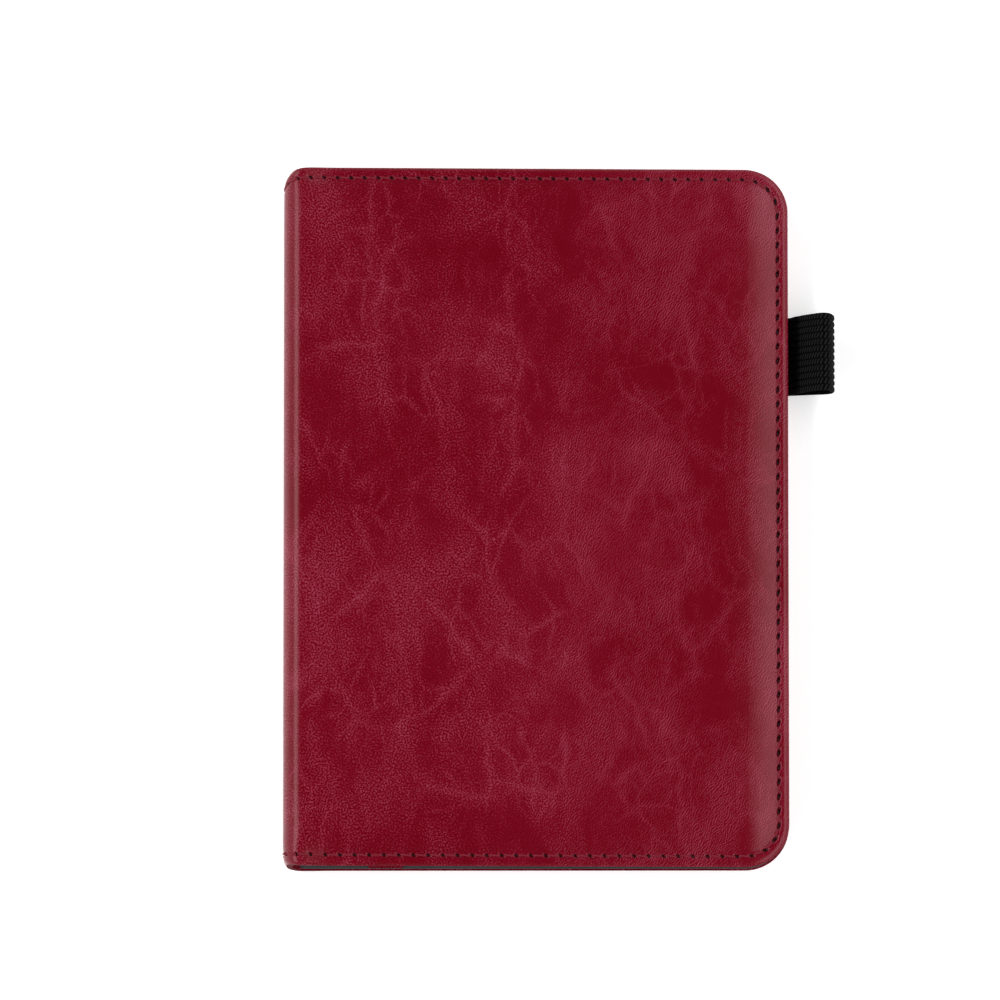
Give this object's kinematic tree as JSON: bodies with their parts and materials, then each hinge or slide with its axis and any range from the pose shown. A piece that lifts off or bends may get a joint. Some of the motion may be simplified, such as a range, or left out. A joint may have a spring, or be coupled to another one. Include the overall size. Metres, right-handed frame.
{
  "type": "pocket notebook",
  "caption": "Closed pocket notebook with a stitched, softly padded leather cover, rounded corners, a wide spine and an elastic pen loop on the fore edge.",
  "frame": {"origin": "centre of the back cover's flat outer face, midway between spine and fore edge and between head and tail", "axes": "+X from the spine to the fore edge, +Y from the tail to the head, +Z from the back cover to the front cover"},
  "size_m": [0.1256, 0.1606, 0.014],
  "materials": {
    "leather": "waxed, wrinkled grain",
    "lining": "brushed microfibre",
    "foam": "matt foam",
    "board": "matt grey board",
    "thread": "polished polyester thread",
    "stiffener": "matt sheet",
    "webbing": "ribbed elastic webbing",
    "card": "smooth kraft card",
    "paper": "uncoated",
    "sewing_thread": "waxed cotton"
  },
  "bodies": {
    "back_cover": {"back_leather": "leather", "back_padding": "foam", "back_board": "board", "back_lining": "lining", "back_seam_thread": "thread", "back_fold_leather": "leather", "back_fold_lining": "lining", "back_fold_thread": "thread", "retaining_strap": "leather", "pen_loop_tail": "webbing", "refill_back_card": "card", "refill_card_spine": "card", "signature_1": "paper", "signature_1_thread": "sewing_thread", "signature_2": "paper", "signature_2_thread": "sewing_thread"},
    "spine": {"spine_leather": "leather", "spine_stiffener": "stiffener", "spine_lining": "lining", "spine_seam_thread": "thread"},
    "front_cover": {"front_leather": "leather", "front_padding": "foam", "front_board": "board", "front_lining": "lining", "front_seam_thread": "thread", "front_fold_leather": "leather", "front_fold_lining": "lining", "front_fold_thread": "thread"},
    "refill_front_cover": {"refill_front_card": "card"},
    "signature_4_body": {"signature_4": "paper", "signature_4_thread": "sewing_thread"},
    "signature_3_body": {"signature_3": "paper", "signature_3_thread": "sewing_thread"},
    "pen_loop_body": {"pen_loop": "webbing"}
  },
  "joints": [
    {"name": "spine_hinge", "type": "hinge", "parent": "back_cover", "child": "spine", "pos_m": [-0.05618, 0, 0.00132], "axis": [0, -1, 0], "range_deg": [0, 90], "deforming": ["back_fold_leather", "back_fold_lining", "back_fold_thread"]},
    {"name": "front_cover_hinge", "type": "hinge", "parent": "spine", "child": "front_cover", "pos_m": [-0.05614, 0, 0.01275], "axis": [0, -1, 0], "range_deg": [0, 92], "deforming": ["front_fold_leather", "front_fold_lining", "front_fold_thread"]},
    {"name": "refill_cover_turn", "type": "hinge", "parent": "back_cover", "child": "refill_front_cover", "pos_m": [-0.053, 0, 0.00556], "axis": [0, -1, 0], "range_deg": [0, 180], "deforming": ["refill_card_spine"]},
    {"name": "signature_4_turn", "type": "hinge", "parent": "back_cover", "child": "signature_4_body", "pos_m": [-0.053, 0, 0.00556], "axis": [0, -1, 0], "range_deg": [0, 178]},
    {"name": "signature_3_turn", "type": "hinge", "parent": "back_cover", "child": "signature_3_body", "pos_m": [-0.053, 0, 0.00556], "axis": [0, -1, 0], "range_deg": [0, 175.5]},
    {"name": "pen_loop_flex", "type": "hinge", "parent": "back_cover", "child": "pen_loop_body", "pos_m": [0.05765, 0.038, 0.0015], "axis": [0, -1, 0], "range_deg": [-15, 15], "stiffness_Nm_per_rad": 0.004}
  ],
  "couplings": [
    {"joint": "spine_hinge", "follows": "front_cover_hinge", "ratio": 0.97826},
    {"joint": "refill_cover_turn", "follows": "front_cover_hinge", "ratio": 1.9565},
    {"joint": "signature_4_turn", "follows": "front_cover_hinge", "ratio": 1.934},
    {"joint": "signature_3_turn", "follows": "front_cover_hinge", "ratio": 1.907}
  ]
}
